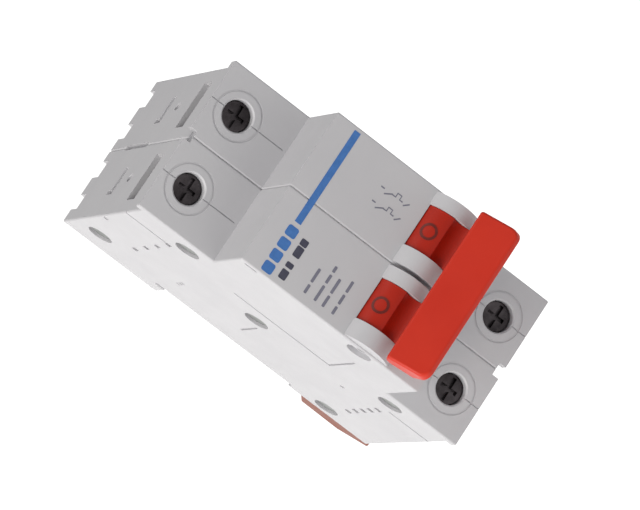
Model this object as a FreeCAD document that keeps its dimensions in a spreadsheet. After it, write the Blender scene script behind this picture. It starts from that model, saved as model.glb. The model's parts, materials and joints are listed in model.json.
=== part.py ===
import FreeCAD, Part
import math
import os
from types import SimpleNamespace

import Sketcher

# Two-pole miniature circuit breaker for a 35 mm rail, in millimetres.
# +Z is up as mounted, the front faces -Y, +X is to the right seen from the front.
# The origin is the centre of the rail seat: Y = 0 is the plane that rests on the rail.

DRIVING_SIZES = [
    # Case
    ("pole_width", 17.8),
    ("side_wall", 1.6),
    ("wall", 1.8),
    ("shoulder_depth", 44.0),
    ("nose_depth", 60.0),
    ("nose_half", 22.5),
    ("top_reach", 41.5),
    ("bottom_reach", 40.4),
    ("hood_lip", 1.4),
    ("hood_thick", 2.0),
    ("edge_round", 0.4),
    ("seam_width", 0.24),
    ("seam_depth", 0.25),
    ("ring_width", 0.45),
    ("ring_depth", 0.16),
    # Rail seat at the rear
    ("rear_lip", 6.0),
    ("lower_lip", 2.0),
    ("rail_half", 17.5),
    ("rail_clear", 0.4),
    ("hook_gap", 1.4),
    ("hook_overlap", 2.0),
    ("hook_relief", 0.15),
    ("seat_wall", 4.8),
    ("pad_height", 8.4),
    ("pad_relief", 0.3),
    ("channel_depth", 6.2),
    # Rail clip
    ("clip_width", 10.0),
    ("clip_clear", 0.2),
    ("clip_travel", 3.6),
    ("clip_bulge", 7.6),
    ("foot_inset", 0.25),
    # Toggle and tie bar
    ("pivot_inset", 3.0),
    ("pivot_drop", 8.9),
    ("ear_rim", 0.45),
    ("ear_wall", 1.4),
    ("ear_inset", 0.5),
    ("slot_width", 9.8),
    ("slot_shift", 0.5),
    ("drum_radius", 5.85),
    ("drum_clear", 0.25),
    ("crank_radius", 4.0),
    ("crank_angle", 23.0),
    ("pin_radius", 1.0),
    ("pin_clear", 0.06),
    ("tie_bar_inset", 0.1),
    # Link and contact arm
    ("wire_radius", 0.7),
    ("arm_inset", 6.0),
    ("arm_level", 0.5),
    ("arm_thick", 2.4),
    ("arm_half_width", 1.3),
    ("tail_length", 11.0),
    ("tip_reach", 14.5),
    ("tip_drop", 5.5),
    ("contact_gap", 4.9),
    # Terminals
    ("line_inset", 6.7),
    ("load_inset", 7.2),
    ("access_radius", 3.3),
    ("hole_rim", 0.3),
    ("collar_radius", 4.9),
    ("head_radius", 3.05),
    ("head_sunk", 1.6),
    ("head_thick", 2.2),
    ("shank_radius", 2.3),
    ("shank_clear", 0.15),
    ("thread_clear", 0.05),
    ("shelf_thick", 0.8),
    ("cage_travel", 3.0),
    ("cage_plate", 2.0),
    ("cage_wall", 1.4),
    ("cage_half", 5.5),
    ("cage_length", 7.6),
    ("cage_opening", 10.0),
    ("strip_thick", 1.0),
    ("strip_half", 3.6),
    ("entry_half", 5.6),
    ("entry_height", 4.5),
    # Magnetic trip
    ("coil_inset", 1.5),
    ("coil_radius", 5.2),
    ("coil_wire", 0.75),
    ("coil_pitch", 2.1),
    ("coil_turns", 6.0),
    ("yoke_bottom", 5.4),
    ("yoke_thick", 1.0),
    ("plunger_radius", 2.5),
    ("plunger_length", 10.0),
    ("sleeve_clear", 0.3),
    ("sleeve_wall", 0.8),
    # Arc chute
    ("chute_front", 19.4),
    ("chute_back", 7.0),
    ("chute_top", 12.6),
    ("chute_bottom", 13.4),
    ("splitter_thick", 1.0),
    ("splitter_pitch", 2.2),
    ("card_thick", 0.7),
    # Thermal trip
    ("bimetal_level", 22.0),
    ("bimetal_thick", 0.8),
    ("bimetal_half", 2.5),
    # Latch and trip bar
    ("latch_inset", 1.6),
    ("latch_level", 6.0),
    ("trip_bar_radius", 1.2),
    ("trip_bar_clear", 0.1),
    # Rivets
    ("rivet_radius", 1.1),
    ("rivet_head", 2.2),
    ("rivet_recess", 2.8),
    ("recess_depth", 1.0),
]

doc = FreeCAD.newDocument("circuit_breaker")
sheet = doc.addObject("Spreadsheet::Sheet", "Sizes")
for row, (alias, number) in enumerate(DRIVING_SIZES, start=1):
    sheet.set("A%d" % row, alias)
    sheet.set("B%d" % row, str(number))
    sheet.setAlias("B%d" % row, alias)
doc.recompute()


class Size:
    """A length that keeps its value together with the sheet formula that gives it."""

    def __init__(self, value, formula):
        self.value = value
        self.formula = formula

    def joined(self, sign, other, value):
        return Size(value, "(%s %s %s)" % (self.formula, sign, other.formula))

    def __add__(self, other):
        other = as_size(other)
        return self.joined("+", other, self.value + other.value)

    def __sub__(self, other):
        other = as_size(other)
        return self.joined("-", other, self.value - other.value)

    def __mul__(self, other):
        other = as_size(other)
        return self.joined("*", other, self.value * other.value)

    def __truediv__(self, other):
        other = as_size(other)
        return self.joined("/", other, self.value / other.value)

    def __radd__(self, other):
        return as_size(other) + self

    def __rsub__(self, other):
        return as_size(other) - self

    def __rmul__(self, other):
        return as_size(other) * self

    def __neg__(self):
        return Size(-self.value, "(-1 * %s)" % self.formula)


def as_size(number):
    if isinstance(number, Size):
        return number
    return Size(float(number), "(%s)" % float(number))


s = SimpleNamespace(**{
    alias: Size(float(sheet.get(alias)), "Sizes.%s" % alias) for alias, _ in DRIVING_SIZES
})

nodes = []


def bind(obj, name, size):
    obj.setExpression(name, as_size(size).formula)


def place(obj, x, y, z, rotation=FreeCAD.Rotation()):
    obj.Placement = FreeCAD.Placement(FreeCAD.Vector(), rotation)
    for axis, distance in zip("xyz", (x, y, z)):
        bind(obj, "Placement.Base." + axis, distance)


def box(x, y, z):
    """A block between the two values given along each axis."""
    solid = doc.addObject("Part::Box", "Block")
    bind(solid, "Length", x[1] - x[0])
    bind(solid, "Width", y[1] - y[0])
    bind(solid, "Height", z[1] - z[0])
    place(solid, x[0], y[0], z[0])
    return solid


ALONG = {
    "x": FreeCAD.Rotation(FreeCAD.Vector(0, 1, 0), 90),
    "y": FreeCAD.Rotation(FreeCAD.Vector(1, 0, 0), -90),
    "z": FreeCAD.Rotation(),
}


def rod(axis, start, radius, length):
    """A cylinder that starts at a point and runs along +X, +Y or +Z."""
    solid = doc.addObject("Part::Cylinder", "Rod")
    bind(solid, "Radius", radius)
    bind(solid, "Height", length)
    place(solid, *start, rotation=ALONG[axis])
    return solid


def countersink(x, y, z, radius, rim):
    """A cone that opens a hole's mouth towards -Y by a rim of equal width and depth."""
    solid = doc.addObject("Part::Cone", "Countersink")
    bind(solid, "Radius1", radius + rim)
    bind(solid, "Radius2", radius)
    bind(solid, "Height", rim)
    place(solid, x, y, z, rotation=ALONG["y"])
    return solid


def crosswise(x, y, z, radius):
    """A cylinder across the width, between two values of X."""
    return rod("x", (x[0], y, z), radius, x[1] - x[0])


def slab(corners, x):
    """A body padded across the width from a side outline given as (y, z) corners."""
    body = doc.addObject("PartDesign::Body", "Plate")
    plane = next(item for item in body.Origin.OriginFeatures if item.Role == "YZ_Plane")
    sketch = body.newObject("Sketcher::SketchObject", "Outline")
    sketch.AttachmentSupport = [(plane, "")]
    sketch.MapMode = "FlatFace"
    corners = [(as_size(y), as_size(z)) for y, z in corners]
    count = len(corners)
    points = [FreeCAD.Vector(y.value, z.value, 0) for y, z in corners]
    for index in range(count):
        line = Part.LineSegment(points[index], points[(index + 1) % count])
        sketch.addGeometry(line, False)
    for index in range(count):
        follower = (index + 1) % count
        sketch.addConstraint(Sketcher.Constraint("Coincident", index, 2, follower, 1))
    for index, (y, z) in enumerate(corners):
        for kind, size in (("DistanceX", y), ("DistanceY", z)):
            number = sketch.addConstraint(Sketcher.Constraint(kind, -1, 1, index, 1, size.value))
            sketch.setExpression("Constraints[%d]" % number, size.formula)
    bind(sketch, "AttachmentOffset.Base.z", x[0])
    pad = body.newObject("PartDesign::Pad", "Pad")
    pad.Profile = sketch
    bind(pad, "Length", x[1] - x[0])
    sketch.Visibility = False
    return body


def fuse(*solids):
    joined = doc.addObject("Part::MultiFuse", "Joined")
    joined.Shapes = list(solids)
    joined.Refine = True
    return joined


def cut(solid, *tools):
    result = doc.addObject("Part::Cut", "Cut")
    result.Base = solid
    result.Tool = tools[0] if len(tools) == 1 else fuse(*tools)
    return result


def common(solid, other):
    result = doc.addObject("Part::MultiCommon", "Shared")
    result.Shapes = [solid, other]
    return result


def rounded(solid, radius, wanted):
    """Round the edges that the function wanted picks."""
    doc.recompute()
    result = doc.addObject("Part::Fillet", "Rounded")
    result.Base = solid
    edges = enumerate(solid.Shape.Edges, start=1)
    result.Edges = [(number, radius.value, radius.value) for number, edge in edges if wanted(edge)]
    return result


def wire_form(points, radius, bend):
    """Round wire along straight runs joined by arcs of one bend radius."""
    points = [FreeCAD.Vector(*[as_size(value).value for value in point]) for point in points]
    edges = []
    start = points[0]
    for before, corner, after in zip(points, points[1:], points[2:]):
        back = (before - corner).normalize()
        ahead = (after - corner).normalize()
        half = back.getAngle(ahead) / 2
        reach = bend / math.tan(half)
        middle_way = (back + ahead).normalize()
        centre = corner + middle_way * (bend / math.sin(half))
        first = corner + back * reach
        last = corner + ahead * reach
        edges.append(Part.LineSegment(start, first).toShape())
        edges.append(Part.Arc(first, centre - middle_way * bend, last).toShape())
        start = last
    edges.append(Part.LineSegment(start, points[-1]).toShape())
    path = Part.Wire(edges)
    direction = points[1] - points[0]
    section = Part.Wire(Part.makeCircle(as_size(radius).value, points[0], direction))
    return Part.Solid(path.makePipeShell([section], True, False))


def coiled(radius, wire, pitch, turns):
    """A helical winding about +Z that starts at the origin's level."""
    steps = int(12 * turns)
    places = []
    for step in range(steps + 1):
        angle = 2 * math.pi * turns * step / steps
        rise = pitch * turns * step / steps
        places.append(FreeCAD.Vector(radius * math.cos(angle), radius * math.sin(angle), rise))
    curve = Part.BSplineCurve()
    curve.interpolate(places)
    path = Part.Wire(curve.toShape())
    start = FreeCAD.Vector(radius, 0, 0)
    section = Part.Wire(Part.makeCircle(wire, start, FreeCAD.Vector(0, 1, 0)))
    return path.makePipeShell([section], True, True)


def shaped(shape, x=0, y=0, z=0, rotation=FreeCAD.Rotation()):
    """A feature whose shape comes straight from Part's functions."""
    feature = doc.addObject("Part::Feature", "Formed")
    feature.Shape = shape
    place(feature, x, y, z, rotation)
    return feature


def node(label, solid):
    solid.Label = label
    nodes.append(solid)
    return solid


# Places that many pieces share. Depths are measured forward from the rail seat.
width = s.pole_width
inner_half = width / 2 - s.side_wall
shoulder = -s.shoulder_depth
nose = -s.nose_depth
end_top = s.top_reach - s.hood_lip
end_bottom = -(s.bottom_reach - s.hood_lip)
pivot_y = nose + s.pivot_inset
pivot_z = -s.pivot_drop
arm_y = shoulder + s.arm_inset
arm_z = s.arm_level
coil_y = shoulder + s.wall + s.coil_radius + s.coil_inset
yoke_y = coil_y + s.coil_radius + 1.1
ear_radius = s.drum_radius + s.ear_rim
line_level = s.top_reach - s.line_inset
load_level = s.load_inset - s.bottom_reach
floor_z = -(s.rail_half + s.rail_clear)
foot_z = floor_z - 0.7
latch_y = shoulder - s.latch_inset
latch_z = s.latch_level
clip_half = s.clip_width / 2
rail_edge = s.rail_half + s.rail_clear
hook_tip = s.rail_half - s.hook_overlap


def outline(inset):
    """The side outline of a pole, drawn in by an equal inset."""
    return [
        (shoulder + inset, s.top_reach - inset),
        (shoulder + inset, s.nose_half - inset),
        (nose + inset, s.nose_half - inset),
        (nose + inset, -s.nose_half + inset),
        (shoulder + inset, -s.nose_half + inset),
        (shoulder + inset, -s.bottom_reach + inset),
        (shoulder + s.hood_thick - inset, -s.bottom_reach + inset),
        (shoulder + s.hood_thick - inset, end_bottom + inset),
        (s.lower_lip - inset, end_bottom + inset),
        (s.lower_lip - inset, floor_z - inset),
        (-inset, floor_z - inset),
        (-inset, hook_tip - 0.3 - inset),
        (-s.hook_relief - inset, hook_tip - 0.3 - inset),
        (-s.hook_relief - inset, rail_edge + inset),
        (s.hook_gap + inset, rail_edge + inset),
        (s.hook_gap + inset, hook_tip + inset),
        (s.rear_lip - 0.8 - inset, hook_tip + inset),
        (s.rear_lip - inset, hook_tip + 1.0 + inset),
        (s.rear_lip - inset, end_top - inset),
        (shoulder + s.hood_thick - inset, end_top - inset),
        (shoulder + s.hood_thick - inset, s.top_reach - inset),
    ]


def cavity_outline():
    """The inside of a pole, one wall in from the outline."""
    wall = s.wall
    behind_seat = -s.seat_wall
    behind_channel = -(s.channel_depth + wall)
    return [
        (shoulder + wall, end_top - wall),
        (shoulder + wall, s.nose_half - wall),
        (nose + wall, s.nose_half - wall),
        (nose + wall, -s.nose_half + wall),
        (shoulder + wall, -s.nose_half + wall),
        (shoulder + wall, end_bottom + wall),
        (behind_channel, end_bottom + wall),
        (behind_channel, foot_z + wall),
        (behind_seat, foot_z + wall),
        (behind_seat, rail_edge + wall),
        (s.rear_lip - wall, rail_edge + wall),
        (s.rear_lip - wall, end_top - wall),
    ]


# Rivet places on the side face, as (y, z). The lowest one at the rear also guides the rail clip.
clip_rivet = (-2.8, foot_z - 7.4)
RIVETS = [
    (s.rear_lip - 10.3, end_top - 5.5),
    (shoulder + 5.7, line_level - 8.2),
    (shoulder + 17.6, s.arm_level + 2.9),
    (shoulder + 5.9, load_level + 7.1),
    clip_rivet,
]


# Name, level and outward direction of the line end and the load end.
TERMINALS = [("line", line_level, 1), ("load", load_level, -1)]


# Depths in a terminal, from the screw head down to the cage.
head_y = shoulder + s.head_sunk
shelf_y = head_y + s.head_thick
cage_y = shelf_y + s.shelf_thick + 0.3 + s.cage_travel
opening_y = cage_y + s.cage_plate
strip_y = opening_y + 0.3
cage_back = opening_y + s.cage_opening
entry_y = strip_y + s.strip_thick + 0.2


def spread(low, high):
    """Order two values that a mirrored end may have swapped."""
    return (low, high) if low.value <= high.value else (high, low)


def screw_rods(xc, start, radius, length):
    """One rod on the axis of each terminal screw of a pole."""
    return [rod("y", (xc, start, level), radius, length) for level in (line_level, load_level)]


def side_details(face_x, way):
    """Shallow grooves, vents and marks on an exposed side face."""
    depth = 0.35

    def groove(y0, y1, z0, z1, deep=depth):
        x = spread(face_x - way * deep, face_x + way * 1.0)
        return box(x, (as_size(y0), as_size(y1)), (as_size(z0), as_size(z1)))

    marks = [
        groove(shoulder + 10.8, shoulder + 11.3, line_level - 5.2, s.top_reach + 1),
        groove(shoulder + 10.8, shoulder + 11.3, -s.bottom_reach - 1, load_level + 4.9),
        groove(shoulder + 9.8, shoulder + 10.3, pivot_z - 3.5, s.nose_half - 9.9),
        groove(nose + 12.0, shoulder + 10.3, pivot_z - 3.5, pivot_z - 3.0),
        groove(-22.0, -12.6, 0.9, 1.4),
        groove(nose + 0.9, nose + 1.6, 18.0, 21.0),
    ]
    for step in range(4):
        vent_y = -12.0 - 6.6 * step
        marks.append(groove(vent_y - 1.6, vent_y, line_level - 6.4, line_level - 5.2, 0.8))
    for step in range(5):
        vent_y = -11.4 - 4.1 * step
        marks.append(groove(vent_y - 1.5, vent_y, load_level + 4.9, load_level + 6.4, 0.8))
    for step in range(3):
        dot_y = -11.0 - 1.3 * step
        marks.append(groove(dot_y - 0.6, dot_y, 16.6, 17.6))
    x = spread(face_x - way * depth, face_x + way * 1.0)
    for y, z in ((-18.7, end_top - 1.0), (-25.9, end_bottom + 19.6)):
        marks.append(crosswise(x, y, z, 0.6))
    return marks


def end_details(xc):
    """Marking pockets and rear notches on the two end faces of a pole."""
    cuts = []
    for sign, level in ((1, end_top), (-1, end_bottom)):
        z = spread(level - sign * 0.9, level + sign * 2.0)
        cuts.append(box((xc - 3.3, xc + 3.3), (as_size(-14.9), as_size(-13.4)), z))
        cuts.append(box((xc - 3.3, xc - 2.2), (as_size(-13.6), as_size(-11.6)), z))
        cuts.append(rod("z", (xc + 0.4, -20.2, z[0]), 1.0, z[1] - z[0]))
    top = (end_top - 0.9, end_top + 2.0)
    for left, right in ((-5.9, -2.2), (2.1, 6.2)):
        cuts.append(box((xc + left, xc + right), (as_size(2.4), s.rear_lip + 1), top))
    return cuts


def case_shells(side, xc, outward):
    """The two half shells of a pole. outward is -1 for the left pole and +1 for the right."""
    left = xc - width / 2
    right = xc + width / 2
    ear = s.slot_width / 2
    block = slab(outline(0.0), (left, right))
    block = rounded(block, s.edge_round, lambda edge: edge.BoundBox.XLength < 0.01)
    slot = (xc + s.slot_shift - ear, xc + s.slot_shift + ear)
    ears = [
        crosswise((left + s.ear_inset, slot[0]), pivot_y, pivot_z, ear_radius),
        crosswise((slot[1], right - s.ear_inset), pivot_y, pivot_z, ear_radius),
    ]
    inside = slab(cavity_outline(), (xc - inner_half, xc + inner_half))
    hollows = [
        inside,
        crosswise((xc - inner_half, xc + inner_half), pivot_y, pivot_z,
                  ear_radius - s.ear_wall),
        crosswise(slot, pivot_y, pivot_z, s.drum_radius + s.drum_clear),
    ]
    shell = cut(fuse(block, *ears), *hollows)
    sleeve_y = shoulder + s.wall
    shelf_end = shelf_y + s.shelf_thick
    shell = fuse(shell, *screw_rods(xc, sleeve_y, s.collar_radius, shelf_end - sleeve_y))

    cuts = screw_rods(xc, shoulder - 1, s.access_radius, 1 + shelf_y - shoulder)
    cuts += screw_rods(xc, shoulder, s.shank_radius + s.shank_clear, shelf_end - shoulder + 1)
    for _, _, way in TERMINALS:
        outer_z = (s.top_reach if way > 0 else -s.bottom_reach) + way * 1.0
        inner_z = (end_top if way > 0 else end_bottom) - way * (s.wall + 0.5)
        cuts.append(box((xc - s.entry_half, xc + s.entry_half),
                        (entry_y, entry_y + s.entry_height), spread(inner_z, outer_z)))
    channel = (-s.channel_depth, s.rear_lip + 4)
    cuts.append(box((xc - clip_half - s.clip_clear, xc + clip_half + s.clip_clear), channel,
                    (end_bottom - 2, foot_z)))
    cuts.append(box((left - 1, right + 1), (-s.pad_relief, s.lower_lip),
                    (floor_z + s.pad_height, rail_edge - s.pad_height - 1.8)))
    jaw_room = (s.hook_gap - 0.3, s.rear_lip)
    cuts.append(box((xc - clip_half - s.clip_clear, xc + clip_half + s.clip_clear), jaw_room,
                    (foot_z - 1, floor_z + 1)))
    cuts += [countersink(xc, shoulder, level, s.access_radius, s.hole_rim)
             for level in (line_level, load_level)]
    cuts += end_details(xc)
    face_x = xc + outward * width / 2
    for y, z in RIVETS:
        cuts.append(crosswise((left - 1, right + 1), y, z, s.rivet_radius))
    cuts.append(crosswise((left - 1, right + 1), pivot_y, pivot_z, s.pin_radius))
    cuts.append(crosswise((xc - inner_half - 0.9, xc + inner_half + 0.9), arm_y, arm_z,
                          s.pin_radius))
    bar_reach = spread(face_x - outward * (s.side_wall / 2), -outward * as_size(1.0))
    cuts.append(crosswise(bar_reach, latch_y, latch_z, s.trip_bar_radius + s.trip_bar_clear))
    recess_x = spread(face_x - outward * s.recess_depth, face_x + outward * 1.0)
    for y, z in RIVETS + [(pivot_y, pivot_z)]:
        cuts.append(crosswise(recess_x, y, z, s.rivet_recess))
    cuts += side_details(face_x, outward)
    cuts.append(box(spread(-outward * as_size(0.5), outward * as_size(0.6)),
                    (s.rear_lip - 23.0, s.rear_lip - 10.0), (end_top - 0.9, end_top + 1)))
    notch_x = spread(-outward * as_size(0.5), outward * as_size(1.4))
    notch_y = (shoulder - 1, shoulder + s.hood_thick + 0.4)
    cuts.append(box(notch_x, notch_y, (s.top_reach - 1.6, s.top_reach + 1)))
    cuts.append(box(notch_x, notch_y, (-s.bottom_reach - 1, -s.bottom_reach + 1.6)))
    shell = cut(shell, *cuts)

    seam_x = (xc - s.seam_width / 2, xc + s.seam_width / 2)
    seam_y = (shoulder - 1, shoulder + s.seam_depth)
    grooves = [
        box(seam_x, seam_y, (s.nose_half + 0.8, s.top_reach + 1)),
        box(seam_x, seam_y, (-s.bottom_reach - 1, -s.nose_half - 0.8)),
    ]
    rings = [cut(ring, core) for ring, core in zip(
        screw_rods(xc, shoulder - 1, s.collar_radius + s.ring_width, 1 + s.ring_depth),
        screw_rods(xc, shoulder - 2, s.collar_radius, 3 + s.ring_depth))]
    shell = cut(shell, *grooves, *rings)

    left_space = box((left - 1, xc), (nose - 9, s.rear_lip + 5),
                     (-s.bottom_reach - 2, s.top_reach + 2))
    collar_space = screw_rods(xc, shoulder - 1, s.collar_radius, shelf_end - shoulder + 2)
    base = cut(common(shell, left_space), *collar_space)
    cover = cut(shell, base)
    node("%s_case_base" % side, base)
    node("%s_case_cover" % side, cover)


def build_toggle(side, xc):
    """Drum, lever neck and crank of a toggle, at rest in the OFF place."""
    half = s.slot_width / 2 - 0.1
    middle = xc + s.slot_shift
    ends = (middle - half, middle + half)
    drum = crosswise(ends, pivot_y, pivot_z, s.drum_radius)
    neck = slab([
        (pivot_y - 3.0, pivot_z - 1.4),
        (pivot_y - 5.4, pivot_z - 2.4),
        (pivot_y - 6.4, pivot_z - 3.2),
        (pivot_y - 8.2, pivot_z - 3.3),
        (pivot_y - 12.0, pivot_z - 5.2),
        (pivot_y - 13.2, pivot_z - 8.6),
        (pivot_y - 10.0, pivot_z - 8.4),
        (pivot_y - 3.6, pivot_z - 4.4),
        (pivot_y - 1.0, pivot_z - 3.0),
    ], ends)
    scoop_angle = math.radians(12.0)
    scoop = crosswise((ends[0] - 1, ends[1] + 1),
                      pivot_y - (s.drum_radius + 1.9) * math.cos(scoop_angle),
                      pivot_z - (s.drum_radius + 1.9) * math.sin(scoop_angle), 2.6)
    crank = crank_point(0)
    window = box((xc - 3.8, xc - 1.5), (crank[0] - 1.5, pivot_y + 8), (crank[1] - 1.7, pivot_z + 8))
    sweep = crosswise((xc - 3.8, xc - 1.5), pivot_y, pivot_z, s.drum_radius + 0.5)
    skin = crosswise((xc - 3.8, xc - 1.5), pivot_y, pivot_z, s.drum_radius - 1.0)
    rear = box((xc - 3.8, xc - 1.5), (pivot_y - 1.5, pivot_y + 8), (pivot_z - 8, pivot_z + 8))
    hub = crosswise((xc - 3.9, xc - 1.4), pivot_y, pivot_z, s.pin_radius + 1.0)
    opening = cut(fuse(common(sweep, rear), common(skin, window)), hub)
    bore = crosswise((ends[0] - 1, ends[1] + 1), pivot_y, pivot_z, s.pin_radius + s.pin_clear)
    eye = crosswise((xc - 1.6, xc + 1.6), *crank, s.wire_radius + s.pin_clear)
    return node("%s_toggle" % side, cut(fuse(drum, neck), scoop, opening, bore, eye))


def crank_point(turned):
    """Place of the crank pin after the handle has turned up by an angle in degrees."""
    angle = math.radians(s.crank_angle.value - turned)
    radius = s.crank_radius
    return pivot_y - radius * math.sin(angle), pivot_z + radius * math.cos(angle)


def build_tie_bar(toggles):
    """One bar over both toggle levers."""
    reach = width - s.tie_bar_inset
    outer = slab([
        (pivot_y - 7.6, pivot_z - 4.0),
        (pivot_y - 8.0, pivot_z - 2.9),
        (pivot_y - 10.6, pivot_z - 2.0),
        (pivot_y - 15.2, pivot_z - 9.6),
        (pivot_y - 14.6, pivot_z - 10.8),
        (pivot_y - 9.6, pivot_z - 9.4),
    ], (-reach, reach))
    lip_z = pivot_z.value - 9.6
    outer = rounded(outer, as_size(2.0), lambda edge: edge.BoundBox.XLength < 0.01
                    and edge.BoundBox.ZMax < lip_z + 0.01)
    outer = rounded(outer, as_size(0.6), lambda edge: True)
    node("tie_bar", cut(outer, *toggles))


def arm_tail(turned):
    """Place of the link's pin at the arm after the arm has closed by an angle in degrees."""
    angle = math.radians(turned)
    return arm_y + s.tail_length * math.sin(angle), arm_z - s.tail_length * math.cos(angle)


def build_link(side, xc):
    """Bent wire from the toggle's crank to the tail of the contact arm."""
    crank = crank_point(0)
    tail = arm_tail(0)
    run_x = xc - 2.6
    points = [
        (xc + 1.4, crank[0], crank[1]),
        (run_x, crank[0], crank[1]),
        (run_x, tail[0], tail[1]),
        (xc + 1.7, tail[0], tail[1]),
    ]
    node("%s_link" % side, shaped(wire_form(points, s.wire_radius, 0.9)))


def build_arm(side, xc):
    """Moving contact, open at rest. Its tail hangs below the pivot."""
    half = s.arm_half_width
    x = (xc - s.arm_thick / 2, xc + s.arm_thick / 2)
    tail = arm_tail(0)
    tip = (arm_y + s.tip_reach, arm_z - s.tip_drop)
    blade = slab([
        (arm_y - 0.6, arm_z + half),
        (arm_y + 1.5, arm_z + 0.9),
        (tip[0] + 0.3, tip[1] + 1.0),
        (tip[0] + 0.3, tip[1] - 0.8),
        (arm_y + 1.8, arm_z - 3.0),
        (tail[0] + 1.9, tail[1] + 1.6),
        (tail[0] + 1.9, tail[1] - 1.9),
        (tail[0] - 1.9, tail[1] - 1.9),
        (tail[0] - 1.9, tail[1] + 1.6),
        (arm_y - 1.5, arm_z - 0.6),
    ], x)
    pad = box((xc - 2.2, xc + 2.2), (tip[0] - 3.0, tip[0] + 0.3), (tip[1] - 0.2, tip[1] + 1.0))
    hub = crosswise((xc - 1.5, xc + 1.5), arm_y, arm_z, s.pin_radius + 0.9)
    bore = crosswise((xc - 2, xc + 2), arm_y, arm_z, s.pin_radius + s.pin_clear)
    eye_radius = s.wire_radius + 0.12
    eye = [crosswise((xc - 2, xc + 2), tail[0], tail[1] + shift, eye_radius)
           for shift in (-0.5, 0.0, 0.5)]
    node("%s_contact_arm" % side, cut(fuse(blade, pad, hub), bore, *eye))


def build_fixed_contact(side, xc):
    """Contact tip on a bent strip that ends at the magnet yoke."""
    tip_y = arm_y + s.tip_reach
    under = arm_z - s.tip_drop + s.contact_gap + 1.1
    yoke_back = yoke_y + s.yoke_thick
    x = (xc - 3.0, xc + 3.0)
    foot = box(x, (tip_y - 0.8, tip_y + 2.4), (under + 0.8, under + 1.6))
    riser = box(x, (tip_y - 0.4, tip_y + 0.4), (under + 1.4, s.yoke_bottom + 4.4))
    tab = box(x, (yoke_back, tip_y + 0.4), (s.yoke_bottom + 3.6, s.yoke_bottom + 4.4))
    tip = box((xc - 2.2, xc + 2.2), (tip_y - 2.4, tip_y + 0.8), (under, under + 1.0))
    node("%s_fixed_contact" % side, fuse(foot, riser, tab, tip))


def build_magnet(side, xc):
    """Yoke, bobbin, coil, plunger and plunger spring of the magnetic trip."""
    thick = s.yoke_thick
    bottom = s.yoke_bottom
    window = s.coil_pitch * s.coil_turns + 2 * s.coil_wire + 0.6
    flange = 0.8
    top = bottom + thick + window + 2 * flange
    back = yoke_y
    sleeve = s.plunger_radius + s.sleeve_clear
    x = (xc - 5.5, xc + 5.5)
    plates = [
        box(x, (coil_y - 5.6, back + thick), (bottom, bottom + thick)),
        box(x, (coil_y - 5.6, back + thick), (top, top + thick)),
        box(x, (back, back + thick), (bottom, top + thick)),
    ]
    pin_hole = rod("z", (xc, coil_y, bottom - 1), 1.3, thick + 2)
    node("%s_yoke" % side, cut(fuse(*plates), pin_hole))

    tube = rod("z", (xc, coil_y, bottom + thick), sleeve + s.sleeve_wall, top - bottom - thick)
    flanges = [rod("z", (xc, coil_y, level), s.coil_radius + 0.9, flange)
               for level in (bottom + thick, top - flange)]
    hole = rod("z", (xc, coil_y, bottom), sleeve, top - bottom + 1)
    node("%s_bobbin" % side, cut(fuse(tube, *flanges), hole))

    winding = coiled(s.coil_radius.value, s.coil_wire.value, s.coil_pitch.value,
                     s.coil_turns.value)
    low_turn = bottom + thick + flange + s.coil_wire + 0.3
    node("%s_coil" % side, shaped(winding, xc, coil_y, low_turn))

    slug_z = bottom + thick + 4.6
    slug = rod("z", (xc, coil_y, slug_z), s.plunger_radius, s.plunger_length)
    pin = rod("z", (xc, coil_y, bottom - 0.2), 0.9, slug_z - bottom + 1)
    node("%s_plunger" % side, fuse(slug, pin))

    wire = 0.3
    turns = 3.5
    pitch = (4.6 - 2 * wire - 0.1) / turns
    spring = coiled(s.plunger_radius.value - 0.5, wire, pitch, turns)
    node("%s_plunger_spring" % side, shaped(spring, xc, coil_y, bottom + thick + wire + 0.05))
    return top + thick


def build_terminal(side, xc, name, level, way):
    """Captive screw, rising cage and fixed strip at one end of a pole."""
    head = rod("y", (xc, head_y, level), s.head_radius, s.head_thick)
    shank_end = opening_y + 0.1
    shank = rod("y", (xc, head_y, level), s.shank_radius, shank_end - head_y)
    slots = [box((xc - 2.6, xc + 2.6), (head_y - 1, head_y + 0.9), (level - 0.45, level + 0.45)),
             box((xc - 0.45, xc + 0.45), (head_y - 1, head_y + 0.9), (level - 2.0, level + 2.0))]
    node("%s_%s_screw" % (side, name), cut(fuse(head, shank), *slots))

    near = level + way * (s.cage_length / 2 - 1.0)
    far = level - way * (s.cage_length / 2)
    z = spread(far, near)
    frame = box((xc - s.cage_half, xc + s.cage_half), (cage_y, cage_back + s.cage_plate), z)
    hole = box((xc - s.cage_half + s.cage_wall, xc + s.cage_half - s.cage_wall),
               (opening_y, cage_back), (z[0] - 1, z[1] + 1))
    thread = rod("y", (xc, cage_y - 1, level), s.shank_radius + s.thread_clear, s.cage_plate + 2)
    node("%s_%s_clamp" % (side, name), cut(frame, hole, thread))


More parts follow.
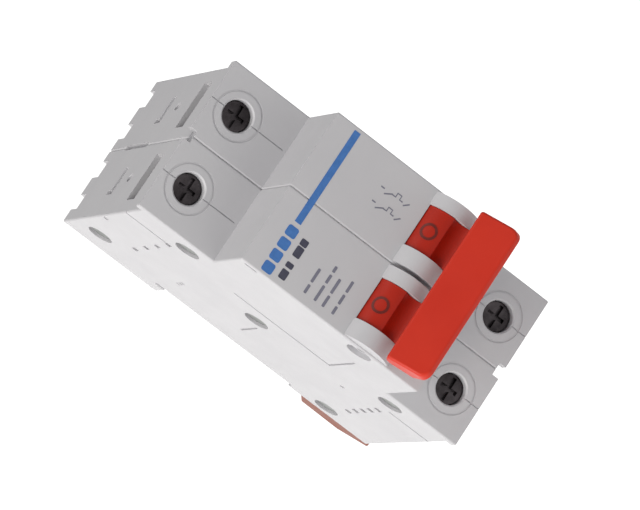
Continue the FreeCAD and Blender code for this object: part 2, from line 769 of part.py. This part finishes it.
def build_strips(side, xc, magnet_top):
    """Fixed conductors: from the line cage to the magnet, and from the load cage to the bimetal."""
    thick = s.strip_thick
    x = (xc - s.strip_half, xc + s.strip_half)
    y = (strip_y, strip_y + thick)
    line_end = line_level + s.cage_length / 2 - 1.2
    line_low = line_level - s.cage_length / 2 - 1.4
    pieces = [
        box(x, y, (line_low, line_end)),
        box(x, (strip_y, coil_y + 4.2), (line_low, line_low + thick)),
        box(x, (coil_y + 3.2, coil_y + 4.2), (magnet_top, line_low + thick)),
    ]
    node("%s_line_strip" % side, fuse(*pieces))

    load_end = load_level - s.cage_length / 2 + 1.2
    load_high = load_level + s.cage_length / 2 + 1.4
    root = -(s.channel_depth + s.wall + 4.0)
    pieces = [
        box(x, y, (load_end, load_high)),
        box(x, (strip_y, root), (load_high - thick, load_high)),
        box(x, (root - thick, root), (load_high - thick, -s.bimetal_level)),
    ]
    node("%s_load_strip" % side, fuse(*pieces))

    screw = rod("y", (xc, root, load_high + 2.2), 1.1, 1.8)
    screw_slot = box((xc - 0.25, xc + 0.25), (root + 1.2, root + 3), (load_high, load_high + 5))
    node("%s_calibration_screw" % side, cut(screw, screw_slot))

    strip = box((xc - s.bimetal_half, xc + s.bimetal_half), (shoulder + 3.4, root),
                (-s.bimetal_level, -s.bimetal_level + s.bimetal_thick))
    node("%s_bimetal" % side, strip)

    braid_y = arm_y + 6.5
    low = -s.bimetal_level + s.bimetal_thick
    points = [
        (xc, braid_y + 3.0, low),
        (xc, braid_y + 3.0, low + 2.4),
        (xc, braid_y - 1.0, low + 6.5),
        (xc, braid_y + 0.5, arm_z - s.tip_drop - 3.6),
    ]
    node("%s_braid" % side, shaped(wire_form(points, 0.8, 1.8)))


def build_chute(side, xc):
    """Splitter plates between two cards, with a runner under them."""
    front = -s.chute_front
    back = -s.chute_back
    half = inner_half - 0.3 - s.card_thick
    count = int((s.chute_top.value + s.chute_bottom.value) / s.splitter_pitch.value)
    plates = []
    for step in range(count + 1):
        level = -s.chute_bottom + s.splitter_pitch * step
        plate = box((xc - half, xc + half), (front, back), (level, level + s.splitter_thick))
        throat = slab([(front - 1, level - 1), (front + 6, level - 1),
                       (front + 6, level + 2), (front - 1, level + 2)], (xc - 0.8, xc + 0.8))
        plates.append(cut(plate, throat))
    stack = doc.addObject("Part::Compound", "Plates")
    stack.Links = plates
    node("%s_arc_splitters" % side, stack)

    z = (-s.chute_bottom - 0.8, s.chute_top + 1.2)
    cards = doc.addObject("Part::Compound", "Cards")
    cards.Links = [
        box((xc - half - s.card_thick, xc - half), (front - 0.6, back), z),
        box((xc + half, xc + half + s.card_thick), (front - 0.6, back), z),
    ]
    node("%s_arc_cards" % side, cards)

    level = -s.chute_bottom - 1.9
    runner = box((xc - 3.0, xc + 3.0), (arm_y + 8.6, back), (level, level + 0.8))
    node("%s_arc_runner" % side, runner)


def build_springs(side, xc):
    """Torsion springs beside the toggle drum and the contact arm."""
    turn = FreeCAD.Rotation(FreeCAD.Vector(0, 1, 0), 90)
    coil = coiled(1.7, 0.3, 0.65, 2.5)
    spring_x = xc - inner_half + 0.5
    node("%s_toggle_spring" % side, shaped(coil, spring_x, pivot_y, pivot_z, turn))
    coil = coiled(1.7, 0.3, 0.65, 4.0)
    node("%s_contact_spring" % side, shaped(coil, xc + 2.2, arm_y, arm_z, turn))


def build_latch(side, xc):
    """Trip latch that hangs from the trip bar between plunger and arm."""
    x = (xc - 1.2, xc + 1.2)
    plate = slab([
        (latch_y - 1.3, latch_z + 2.6),
        (latch_y + 1.2, latch_z + 2.6),
        (latch_y + 1.5, latch_z),
        (latch_y + 1.0, latch_z - 9.0),
        (latch_y + 0.4, latch_z - 10.4),
        (latch_y - 1.0, latch_z - 10.4),
        (latch_y - 1.5, latch_z),
    ], x)
    hub = crosswise((xc - 2.0, xc + 2.0), latch_y, latch_z, s.trip_bar_radius + 0.9)
    bore = crosswise((xc - 3, xc + 3), latch_y, latch_z, s.trip_bar_radius)
    node("%s_latch" % side, cut(fuse(plate, hub), bore))


def build_rail_clip(side, xc):
    """Sliding clip whose jaw closes behind the lower edge of the rail."""
    floor = -s.channel_depth + s.clip_clear
    jaw = s.hook_gap
    outer = s.clip_bulge
    foot_front = s.lower_lip + s.clip_clear
    foot_end = -s.bottom_reach + 0.2
    tongue = slab([
        (floor, foot_z - 0.5),
        (jaw, foot_z - 0.5),
        (jaw, -s.rail_half + 1.6),
        (jaw + 1.0, -s.rail_half + 2.0),
        (jaw + 2.2, -s.rail_half + 0.4),
        (outer - 1.6, foot_z - 4.2),
        (outer - 1.6, foot_z - 15.0),
        (foot_front + 0.8, foot_end + 0.8),
        (jaw - 0.6, foot_end + 0.8),
        (floor + 3.4, foot_end + 3.2),
        (floor, foot_end + 4.8),
    ], (xc - clip_half, xc + clip_half))
    foot = slab([
        (foot_front, foot_z - 3.0),
        (foot_front + 1.2, foot_z - 3.2),
        (outer - 0.6, foot_z - 5.0),
        (outer, foot_z - 15.0),
        (foot_front + 2.0, foot_end),
        (foot_front, foot_end + 0.6),
    ], (xc - width / 2 + s.foot_inset, xc + width / 2 - s.foot_inset))
    foot = rounded(foot, as_size(0.35), lambda edge: True)
    plate = fuse(tongue, foot)
    guide_y, guide_z = clip_rivet
    room = s.rivet_radius + s.clip_clear
    slot = box((xc - clip_half - 1, xc + clip_half + 1), (guide_y - room, guide_y + room),
               (guide_z - room, guide_z + room + s.clip_travel))
    pull = box((xc - 2.6, xc + 2.6), (as_size(-1.0), outer + 1),
               (-s.bottom_reach + 2.4, -s.bottom_reach + 4.2))
    node("%s_rail_clip" % side, cut(plate, slot, pull))


def build_fasteners():
    """Rivets, pins and the trip bar, which pass through both poles."""
    floor_x = width - s.recess_depth
    rivets = doc.addObject("Part::Compound", "Rivets")
    rivet_list = []
    for y, z in RIVETS:
        shank = crosswise((-floor_x, floor_x), y, z, s.rivet_radius)
        heads = [crosswise((-floor_x - 0.5, -floor_x), y, z, s.rivet_head),
                 crosswise((floor_x, floor_x + 0.5), y, z, s.rivet_head)]
        rivet_list.append(fuse(shank, *heads))
    rivets.Links = rivet_list
    node("rivets", rivets)
    node("toggle_pin", crosswise((-floor_x - 0.3, floor_x + 0.3), pivot_y, pivot_z, s.pin_radius))
    pins = doc.addObject("Part::Compound", "Pins")
    pins.Links = [crosswise((xc - inner_half - 0.9, xc + inner_half + 0.9), arm_y, arm_z,
                            s.pin_radius) for xc in (-width / 2, width / 2)]
    node("arm_pins", pins)
    bar = width - s.side_wall / 2 - 0.2
    node("trip_bar", crosswise((-bar, bar), latch_y, latch_z, s.trip_bar_radius))


toggles = []
for side, outward in (("left", -1), ("right", 1)):
    centre = outward * width / 2
    case_shells(side, centre, outward)
    toggles.append(build_toggle(side, centre))
    build_link(side, centre)
    build_arm(side, centre)
    build_fixed_contact(side, centre)
    magnet_top = build_magnet(side, centre)
    for name, level, way in TERMINALS:
        build_terminal(side, centre, name, level, way)
    build_strips(side, centre, magnet_top)
    build_chute(side, centre)
    build_springs(side, centre)
    build_latch(side, centre)
    build_rail_clip(side, centre)
build_tie_bar(toggles)
build_fasteners()

doc.recompute()
for obj in doc.Objects:
    if "Invalid" in obj.State or "Error" in obj.State:
        raise RuntimeError("%s (%s) failed: %s" % (obj.Label, obj.Name, obj.State))
for obj in nodes:
    if obj.Shape.isNull() or not obj.Shape.isValid():
        raise RuntimeError("%s has no valid shape" % obj.Label)
    if not obj.Shape.Solids:
        raise RuntimeError("%s holds no solid" % obj.Label)

os.makedirs("parts", exist_ok=True)
for obj in nodes:
    obj.Shape.exportStep("parts/%s.step" % obj.Label)
print("wrote %d sub-parts" % len(nodes))
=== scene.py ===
import json
import math

import bmesh
import bpy
from mathutils import Matrix, Vector


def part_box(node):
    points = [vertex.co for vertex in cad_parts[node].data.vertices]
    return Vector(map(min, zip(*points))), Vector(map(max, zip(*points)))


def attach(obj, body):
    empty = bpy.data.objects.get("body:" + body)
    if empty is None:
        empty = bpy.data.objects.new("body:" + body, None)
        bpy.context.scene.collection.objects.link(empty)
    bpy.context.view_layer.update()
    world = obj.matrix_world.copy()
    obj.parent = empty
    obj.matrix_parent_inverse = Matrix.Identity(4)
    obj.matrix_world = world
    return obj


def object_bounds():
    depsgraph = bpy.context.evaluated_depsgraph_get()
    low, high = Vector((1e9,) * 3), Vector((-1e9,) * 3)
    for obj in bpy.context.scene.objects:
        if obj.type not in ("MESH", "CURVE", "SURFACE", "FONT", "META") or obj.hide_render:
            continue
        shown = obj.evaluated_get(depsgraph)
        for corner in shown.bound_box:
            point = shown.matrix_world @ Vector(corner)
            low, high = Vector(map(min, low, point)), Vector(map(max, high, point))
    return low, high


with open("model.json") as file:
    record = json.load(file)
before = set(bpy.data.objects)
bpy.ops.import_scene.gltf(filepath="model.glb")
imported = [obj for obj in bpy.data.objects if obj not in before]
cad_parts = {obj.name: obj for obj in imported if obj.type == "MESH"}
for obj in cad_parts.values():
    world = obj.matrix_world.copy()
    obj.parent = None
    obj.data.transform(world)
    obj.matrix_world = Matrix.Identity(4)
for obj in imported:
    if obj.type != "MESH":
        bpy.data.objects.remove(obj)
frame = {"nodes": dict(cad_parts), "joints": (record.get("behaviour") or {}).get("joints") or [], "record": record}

CAD_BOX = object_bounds()
MM = 0.001

# Printed marks on the front, in millimetres: x to the right of the middle, z above it.
STRIPE_LEFT = -5.2
STRIPE_EDGE_GAP = 0.9
STRIPE_LEVEL = 16.95
STRIPE_HEIGHT = 1.5
STRIPE_CORNER = 0.1
BLOCK_COUNT = 4
BLOCK_LEFT = -17.0
BLOCK_PITCH = 2.85
BLOCK_WIDTH = 2.3
BLOCK_HEIGHT = 2.5
BLOCK_CORNER = 0.5
DASH_LEFT = -16.2
DASH_PITCH = 2.6
DASH_LENGTHS = (2.1, 1.2, 2.4, 1.5)
DASH_BOTTOM, DASH_TOP = 12.7, 14.4
DASH_CORNER = 0.3
RULE_LEFT = -15.6
RULE_GAP = 0.6
RULE_HEIGHT = 0.64
RULE_CORNER = 0.2
RULE_ROWS = ((8.0, (2.0, 3.2)), (5.4, (3.6, 2.0, 1.4)), (3.4, (2.6, 3.4)), (0.9, (1.8, 2.2, 2.6)))
DIAGRAM_LEFT = 7.7
DIAGRAM_TOP = 6.9
DIAGRAM_PITCH = 3.4
DIAGRAM_LINE = 0.28
# Each drawn line of one pole of the diagram, as (x, drop below its top).
DIAGRAM_LINES = (
    ((0.0, 0.0), (0.0, 0.9)),
    ((-0.9, 1.3), (0.1, 2.9)),
    ((0.0, 2.9), (0.0, 3.7), (0.9, 3.7), (0.9, 4.7), (0.0, 4.7), (0.0, 5.5)),
    ((-0.5, 5.9), (0.5, 7.0)),
)
INK_THICK = 0.03

# The ring on each toggle, in millimetres.
RING_RADIUS = 1.55
RING_WIDTH = 0.55
RING_THICK = 0.05
RING_LEVEL = 3.3
RING_OFFSET = -0.3
NOSE_AHEAD_OF_PIVOT = 3.0

# Floor, light and camera, in metres and degrees.
AIM = Vector((-0.0006, -0.0330, 0.0018))
FLOOR_REACH = 12.0
FLOOR_DROP = 0.22
# Painted light: the floor glows, weakly in front of the object and strongly behind it.
GLOW_IN_FRONT, GLOW_FRONT_Y = 0.12, -0.1
GLOW_BEHIND, GLOW_BACK_Y = 0.75, 0.45
WORLD_STRENGTH = 0.36
LAMP_COLOUR = (1.0, 0.98, 0.94)
CAMERA_AZIMUTH = -14.5
CAMERA_ELEVATION = 15.57
CAMERA_ROLL = -52.6
CAMERA_DISTANCE = 1.2028
CAMERA_LENS_MM = 337.5
SENSOR_WIDTH_MM = 36.0


# ---------------------------------------------------------------- materials

class Look:
    """A procedural material built step by step on one Principled shader."""

    def __init__(self, name, roughness, metallic=0.0, specular=0.5):
        self.material = bpy.data.materials.new(name)
        self.material.use_nodes = True
        self.nodes = self.material.node_tree.nodes
        self.links = self.material.node_tree.links
        self.shader = self.nodes["Principled BSDF"]
        self.shader.inputs["Roughness"].default_value = roughness
        self.shader.inputs["Metallic"].default_value = metallic
        self.shader.inputs["Specular IOR Level"].default_value = specular
        self.place = self.nodes.new("ShaderNodeTexCoord").outputs["Object"]
        self.height = None

    def add(self, kind, **inputs):
        item = self.nodes.new(kind)
        for name, value in inputs.items():
            socket = item.inputs[name.replace("_", " ")]
            if isinstance(value, bpy.types.NodeSocket):
                self.links.new(value, socket)
            else:
                socket.default_value = value
        return item

    def noise(self, scale, detail=4.0, roughness=0.6, stretch=(1, 1, 1)):
        mapping = self.add("ShaderNodeMapping", Vector=self.place, Scale=stretch)
        texture = self.add("ShaderNodeTexNoise", Vector=mapping.outputs[0], Scale=scale,
                           Detail=detail, Roughness=roughness)
        return texture.outputs["Fac"]

    def ramp(self, value, low, high, dark=0.0, bright=1.0):
        item = self.add("ShaderNodeMapRange", Value=value, From_Min=low, From_Max=high,
                        To_Min=dark, To_Max=bright)
        return item.outputs[0]

    def mix(self, share, first, second):
        item = self.nodes.new("ShaderNodeMix")
        item.data_type = "RGBA"
        for socket, value in ((item.inputs[0], share), (item.inputs[6], first),
                              (item.inputs[7], second)):
            if isinstance(value, bpy.types.NodeSocket):
                self.links.new(value, socket)
            elif isinstance(value, (tuple, list)):
                socket.default_value = (*value, 1.0)
            else:
                socket.default_value = value
        return item.outputs[2]

    def colour(self, value):
        self.links.new(value, self.shader.inputs["Base Color"])

    def rough(self, value):
        self.links.new(value, self.shader.inputs["Roughness"])

    def bump(self, value, distance, strength=1.0):
        item = self.add("ShaderNodeBump", Height=value, Distance=distance, Strength=strength)
        if self.height is not None:
            self.links.new(self.height, item.inputs["Normal"])
        self.height = item.outputs[0]
        self.links.new(self.height, self.shader.inputs["Normal"])


def moulded_plastic(name, colour, shade, roughness, grain=0.02, scuffs=0.25, specular=0.45):
    """Moulded plastic: fine spark-eroded grain, faint flow marks, handling smudges."""
    look = Look(name, roughness, specular=specular)
    cloudy = look.noise(60.0, 5.0)
    flow = look.noise(25.0, 3.0, stretch=(1.0, 1.0, 0.25))
    fine = look.noise(2600.0, 3.0, 0.7)
    base = look.mix(look.ramp(cloudy, 0.3, 0.7, 0.0, 0.6), colour, shade)
    base = look.mix(look.ramp(flow, 0.45, 0.75, 0.0, scuffs), base, shade)
    look.colour(base)
    smudge = look.noise(140.0, 6.0, 0.65)
    look.rough(look.ramp(smudge, 0.3, 0.75, roughness - 0.07, roughness + 0.12))
    look.bump(fine, grain * MM, 0.6)
    look.bump(flow, 0.05 * MM, 0.15)
    return look.material


def plated_metal(name, colour, shade, roughness, streaks=(1, 1, 1), grain=0.01):
    """Plated or drawn metal with directional marks and dull patches."""
    look = Look(name, roughness, metallic=1.0)
    marks = look.noise(900.0, 4.0, 0.7, stretch=streaks)
    patches = look.noise(220.0, 5.0)
    base = look.mix(look.ramp(patches, 0.35, 0.7), colour, shade)
    look.colour(base)
    look.rough(look.ramp(patches, 0.3, 0.75, roughness - 0.08, roughness + 0.15))
    look.bump(marks, grain * MM, 0.7)
    return look.material


def printed_ink(name, colour, roughness=0.42):
    """Pad-printed ink: thin, slightly uneven cover."""
    look = Look(name, roughness, specular=0.4)
    patches = look.noise(700.0, 4.0, 0.7)
    paler = tuple(min(1.0, part * 1.35 + 0.02) for part in colour)
    look.colour(look.mix(look.ramp(patches, 0.4, 0.75, 0.0, 0.5), colour, paler))
    look.rough(look.ramp(patches, 0.3, 0.7, roughness - 0.06, roughness + 0.1))
    look.bump(patches, 0.01 * MM, 0.5)
    return look.material


def fibre_card(name, colour, shade):
    """Vulcanised fibre sheet with short flecks."""
    look = Look(name, 0.8, specular=0.2)
    flecks = look.noise(1500.0, 3.0, 0.8, stretch=(1.0, 0.3, 1.0))
    look.colour(look.mix(look.ramp(flecks, 0.4, 0.65), colour, shade))
    look.bump(flecks, 0.03 * MM, 0.8)
    return look.material


CASE = moulded_plastic("case_plastic", (0.545, 0.54, 0.56), (0.50, 0.495, 0.52), 0.46)
RED = moulded_plastic("handle_plastic", (0.60, 0.030, 0.012), (0.50, 0.020, 0.008), 0.40,
                      grain=0.012, specular=0.28)
# Same red plastic as the handle, made darker as painted shade for the tilted, shaded toggles.
TOGGLE_RED_PAINTED_SHADE = moulded_plastic("toggle_plastic_painted_shade", (0.43, 0.020, 0.008), (0.34, 0.013, 0.005), 0.40,
                             grain=0.012, specular=0.24)
CLIP = moulded_plastic("clip_plastic", (0.235, 0.046, 0.013), (0.19, 0.036, 0.010), 0.45)
DARK = moulded_plastic("latch_plastic", (0.035, 0.035, 0.04), (0.025, 0.025, 0.03), 0.5)
BOBBIN = moulded_plastic("bobbin_plastic", (0.62, 0.58, 0.47), (0.55, 0.5, 0.4), 0.5)
STEEL = plated_metal("zinc_steel", (0.42, 0.42, 0.43), (0.30, 0.30, 0.31), 0.34)
# Plated screw steel, near-black as painted shade of the deep screw holes.
SCREW_PAINTED_SHADE = plated_metal("screw_steel_painted_shade", (0.085, 0.075, 0.080), (0.030, 0.026, 0.028), 0.24,
                     streaks=(1.0, 0.2, 1.0), grain=0.12)
# Plated rivet steel, darkened as painted shade of the rivet recesses.
RIVET_PAINTED_SHADE = plated_metal("rivet_steel_painted_shade", (0.36, 0.37, 0.36), (0.24, 0.25, 0.24), 0.42)
SPRING = plated_metal("spring_steel", (0.35, 0.35, 0.36), (0.25, 0.25, 0.26), 0.28)
PLATE = plated_metal("splitter_steel", (0.5, 0.42, 0.36), (0.4, 0.3, 0.25), 0.38,
                     streaks=(0.2, 1.0, 1.0))
COPPER = plated_metal("copper", (0.72, 0.33, 0.19), (0.5, 0.2, 0.11), 0.32,
                      streaks=(1.0, 0.2, 1.0))
BRASS = plated_metal("brass", (0.72, 0.52, 0.22), (0.55, 0.38, 0.14), 0.3)
BIMETAL = plated_metal("bimetal", (0.52, 0.48, 0.42), (0.42, 0.38, 0.33), 0.35,
                       streaks=(1.0, 0.15, 1.0))
CARD = fibre_card("fibre_card", (0.55, 0.46, 0.33), (0.42, 0.34, 0.23))
BLUE = printed_ink("blue_ink", (0.045, 0.155, 0.43))
DARK_INK = printed_ink("dark_ink", (0.05, 0.05, 0.08))
GREY_INK = printed_ink("grey_ink", (0.17, 0.17, 0.22))
RED_MARK = printed_ink("handle_mark", (0.13, 0.010, 0.006))

BY_SLOT = {
    "case": CASE, "handle": RED, "clip": CLIP, "steel": STEEL, "spring_steel": SPRING,
    "plated_steel": PLATE, "copper": COPPER, "brass": BRASS, "bimetal": BIMETAL,
    "bobbin": BOBBIN, "latch": DARK, "rivet": RIVET_PAINTED_SHADE, "card": CARD,
}


def dress_cad_nodes():
    """Give every CAD node its material: by its slot, except the screws and the toggles, which get darker materials
    as painted shade.
    """
    slots = {part["node"]: part["material_slot"] for part in frame["record"]["subparts"]}
    for name, obj in frame["nodes"].items():
        if name.endswith(("line_screw", "load_screw")):
            # Screws: the near-black colour is painted shade.
            material = SCREW_PAINTED_SHADE
        elif name.endswith("toggle"):
            # Toggles: the darker red is painted shade.
            material = TOGGLE_RED_PAINTED_SHADE
        else:
            material = BY_SLOT[slots[name]]
        if not obj.material_slots:
            obj.data.materials.append(material)
        for slot in obj.material_slots:
            slot.material = material


dress_cad_nodes()


# ---------------------------------------------------------------- printed marks

def piece(name, mesh_maker, material, body):
    """Make a mesh object with a bmesh function and let it ride on a body."""
    mesh = bpy.data.meshes.new(name)
    shape = bmesh.new()
    mesh_maker(shape)
    bmesh.ops.remove_doubles(shape, verts=shape.verts, dist=1e-7)
    bmesh.ops.recalc_face_normals(shape, faces=shape.faces)
    shape.to_mesh(mesh)
    shape.free()
    obj = bpy.data.objects.new(name, mesh)
    bpy.context.scene.collection.objects.link(obj)
    mesh.materials.append(material)
    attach(obj, body)
    return obj


CASE_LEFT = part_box("left_case_base")[0].x
CASE_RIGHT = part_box("right_case_cover")[1].x
HALF_WIDTH = (CASE_RIGHT - CASE_LEFT) / 2
HANDLE = next(joint for joint in frame["joints"] if joint["name"] == "handle")
PIVOT = Vector(HANDLE["pos_m"])
DRUM_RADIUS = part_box("left_toggle")[1].z - PIVOT.z
NOSE_Y = PIVOT.y - NOSE_AHEAD_OF_PIVOT * MM


def rounded_bar(x0, x1, z0, z1, radius, steps=5):
    """Outline of a bar with rounded corners, as (x, z) points in order, all in metres."""
    points = []
    corners = ((x1 - radius, z1 - radius, 0), (x0 + radius, z1 - radius, 90),
               (x0 + radius, z0 + radius, 180), (x1 - radius, z0 + radius, 270))
    for cx, cz, start in corners:
        for step in range(steps + 1):
            angle = math.radians(start + 90 * step / steps)
            points.append((cx + radius * math.cos(angle), cz + radius * math.sin(angle)))
    return points


def bar_mm(left, middle, width, height, radius):
    """A rounded bar from its left end and middle level, in millimetres."""
    return rounded_bar(left * MM, (left + width) * MM, (middle - height / 2) * MM,
                       (middle + height / 2) * MM, radius * MM)


def stroke(points, width):
    """Outline of a thin drawn line through (x, z) points, with mitred turns."""
    left, right = [], []
    for index, point in enumerate(points):
        here = Vector(point)
        ahead = Vector(points[min(index + 1, len(points) - 1)])
        behind = Vector(points[max(index - 1, 0)])
        along = (ahead - behind).normalized()
        across = Vector((-along.y, along.x)) * width / 2
        left.append(tuple(here + across))
        right.append(tuple(here - across))
    return left + right[::-1]


def plate_on_nose(outlines):
    """A mesh maker for thin printed shapes on the flat front of the nose."""
    def make(shape):
        for outline in outlines:
            back = [shape.verts.new((x, NOSE_Y, z)) for x, z in outline]
            front = [shape.verts.new((x, NOSE_Y - INK_THICK * MM, z)) for x, z in outline]
            shape.faces.new(front)
            shape.faces.new(back[::-1])
            count = len(outline)
            for index in range(count):
                after = (index + 1) % count
                shape.faces.new((back[index], back[after], front[after], front[index]))
    return make


def ring_on_drum(x, level, radius, width, thick, steps=40):
    """A mesh maker for a raised ring that follows the round face of a toggle."""
    def on_drum(across, along, lift):
        angle = (level + along) / DRUM_RADIUS
        reach = DRUM_RADIUS + lift
        return (x + across, PIVOT.y - reach * math.cos(angle), PIVOT.z + reach * math.sin(angle))

    def make(shape):
        loops = []
        for ring_radius, lift in ((radius - width / 2, -thick), (radius - width / 2, thick),
                                  (radius + width / 2, thick), (radius + width / 2, -thick)):
            loop = []
            for step in range(steps):
                turn = 2 * math.pi * step / steps
                point = on_drum(ring_radius * math.cos(turn), ring_radius * math.sin(turn), lift)
                loop.append(shape.verts.new(point))
            loops.append(loop)
        for number in range(4):
            inner, outer = loops[number], loops[(number + 1) % 4]
            for step in range(steps):
                after = (step + 1) % steps
                shape.faces.new((inner[step], inner[after], outer[after], outer[step]))
    return make


def print_stripe():
    """Blue line across the nose, with four plain blocks to its left."""
    line = bar_mm(STRIPE_LEFT, STRIPE_LEVEL, HALF_WIDTH / MM - STRIPE_EDGE_GAP - STRIPE_LEFT,
                  STRIPE_HEIGHT, STRIPE_CORNER)
    piece("blue_line", plate_on_nose([line]), BLUE, "root")
    blocks = [bar_mm(BLOCK_LEFT + BLOCK_PITCH * number, STRIPE_LEVEL, BLOCK_WIDTH, BLOCK_HEIGHT,
                     BLOCK_CORNER) for number in range(BLOCK_COUNT)]
    piece("blue_blocks", plate_on_nose(blocks), BLUE, "root")


def print_rating_lines():
    """Dashes where a rating plate would be: one bold row and four fine rows."""
    bold = [bar_mm(DASH_LEFT + DASH_PITCH * number, (DASH_BOTTOM + DASH_TOP) / 2, length,
                   DASH_TOP - DASH_BOTTOM, DASH_CORNER)
            for number, length in enumerate(DASH_LENGTHS)]
    fine = []
    for level, lengths in RULE_ROWS:
        x = RULE_LEFT
        for length in lengths:
            fine.append(bar_mm(x, level, length, RULE_HEIGHT, RULE_CORNER))
            x += length + RULE_GAP
    piece("name_dashes", plate_on_nose(bold), DARK_INK, "root")
    piece("rating_lines", plate_on_nose(fine), GREY_INK, "root")


def print_diagram():
    """A plain two-pole switch diagram: a contact, a trip bend and a tail for each pole."""
    for number in range(2):
        left = DIAGRAM_LEFT + DIAGRAM_PITCH * number
        outlines = []
        for line in DIAGRAM_LINES:
            points = [((left + x) * MM, (DIAGRAM_TOP - drop) * MM) for x, drop in line]
            outlines.append(stroke(points, DIAGRAM_LINE * MM))
        piece(f"switch_diagram_{number + 1}", plate_on_nose(outlines), GREY_INK, "root")


def mark_toggles():
    """The plain round symbol for off, raised on each toggle."""
    for side in ("left", "right"):
        low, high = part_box(f"{side}_toggle")
        middle = (low.x + high.x) / 2 + RING_OFFSET * MM
        maker = ring_on_drum(middle, RING_LEVEL * MM, RING_RADIUS * MM, RING_WIDTH * MM,
                             RING_THICK * MM)
        piece(f"{side}_off_symbol", maker, RED_MARK, "handle")


print_stripe()
print_rating_lines()
print_diagram()
mark_toggles()


# ---------------------------------------------------------------- floor, light and camera

def build_floor():
    """A plain pale sheet well below the object that glows as painted light, brighter behind it than in front."""
    level = CAD_BOX[0].z - FLOOR_DROP
    mesh = bpy.data.meshes.new("floor")
    corners = [(x * FLOOR_REACH, y * FLOOR_REACH, level)
               for x, y in ((-1, -1), (1, -1), (1, 1), (-1, 1))]
    mesh.from_pydata(corners, [], [(0, 1, 2, 3)])
    floor = bpy.data.objects.new("floor", mesh)
    bpy.context.scene.collection.objects.link(floor)
    look = Look("glowing_floor_paper", 0.9, specular=0.1)
    look.colour(look.mix(look.noise(3.0), (0.93, 0.93, 0.93), (0.91, 0.91, 0.91)))
    # Painted light: the floor glows, more behind the object than in front, and lights it from below.
    look.shader.inputs["Emission Color"].default_value = (1.0, 1.0, 1.0, 1.0)
    split = look.nodes.new("ShaderNodeSeparateXYZ")
    look.links.new(look.place, split.inputs[0])
    glow = look.ramp(split.outputs["Y"], GLOW_FRONT_Y, GLOW_BACK_Y, GLOW_IN_FRONT, GLOW_BEHIND)
    look.links.new(glow, look.shader.inputs["Emission Strength"])
    mesh.materials.append(look.material)


def softbox(name, way, distance, width, height, watts):
    """A slightly warm area light that faces the object from a direction."""
    light = bpy.data.lights.new(name, "AREA")
    light.shape = "RECTANGLE"
    light.size = width
    light.size_y = height
    light.energy = watts
    light.color = LAMP_COLOUR
    lamp = bpy.data.objects.new(name, light)
    bpy.context.scene.collection.objects.link(lamp)
    away = Vector(way).normalized()
    lamp.location = AIM + away * distance
    lamp.rotation_mode = "QUATERNION"
    lamp.rotation_quaternion = (-away).to_track_quat("-Z", "Y")


def build_light():
    """A pale surround, a large light at the left side and a weak one from above."""
    world = bpy.data.worlds.new("studio")
    world.use_nodes = True
    bpy.context.scene.world = world
    backdrop = world.node_tree.nodes["Background"]
    backdrop.inputs["Color"].default_value = (1.0, 1.0, 1.0, 1.0)
    backdrop.inputs["Strength"].default_value = WORLD_STRENGTH
    softbox("side_key", way=(-0.80, -0.32, 0.48), distance=1.1, width=0.8, height=0.8, watts=11.0)
    softbox("top_fill", way=(0.1, -0.35, 1.0), distance=1.2, width=0.6, height=0.6, watts=2.0)


def build_camera():
    """Long lens from the front left, a little above, rolled so that the top points up left."""
    azimuth = math.radians(CAMERA_AZIMUTH)
    elevation = math.radians(CAMERA_ELEVATION)
    roll = math.radians(CAMERA_ROLL)
    ahead = Vector((-math.sin(azimuth) * math.cos(elevation),
                    math.cos(azimuth) * math.cos(elevation), -math.sin(elevation)))
    level_right = ahead.cross(Vector((0, 0, 1))).normalized()
    level_up = level_right.cross(ahead)
    right = level_right * math.cos(roll) + level_up * math.sin(roll)
    up = right.cross(ahead)
    camera_data = bpy.data.cameras.new("camera")
    camera_data.lens = CAMERA_LENS_MM
    camera_data.sensor_width = SENSOR_WIDTH_MM
    camera_data.clip_end = 100.0
    camera = bpy.data.objects.new("camera", camera_data)
    bpy.context.scene.collection.objects.link(camera)
    turn = Matrix((right, up, -ahead)).transposed()
    camera.matrix_world = Matrix.Translation(AIM - ahead * CAMERA_DISTANCE) @ turn.to_4x4()
    bpy.context.scene.camera = camera


build_floor()
build_light()
build_camera()
bpy.context.scene.view_settings.view_transform = "Standard"
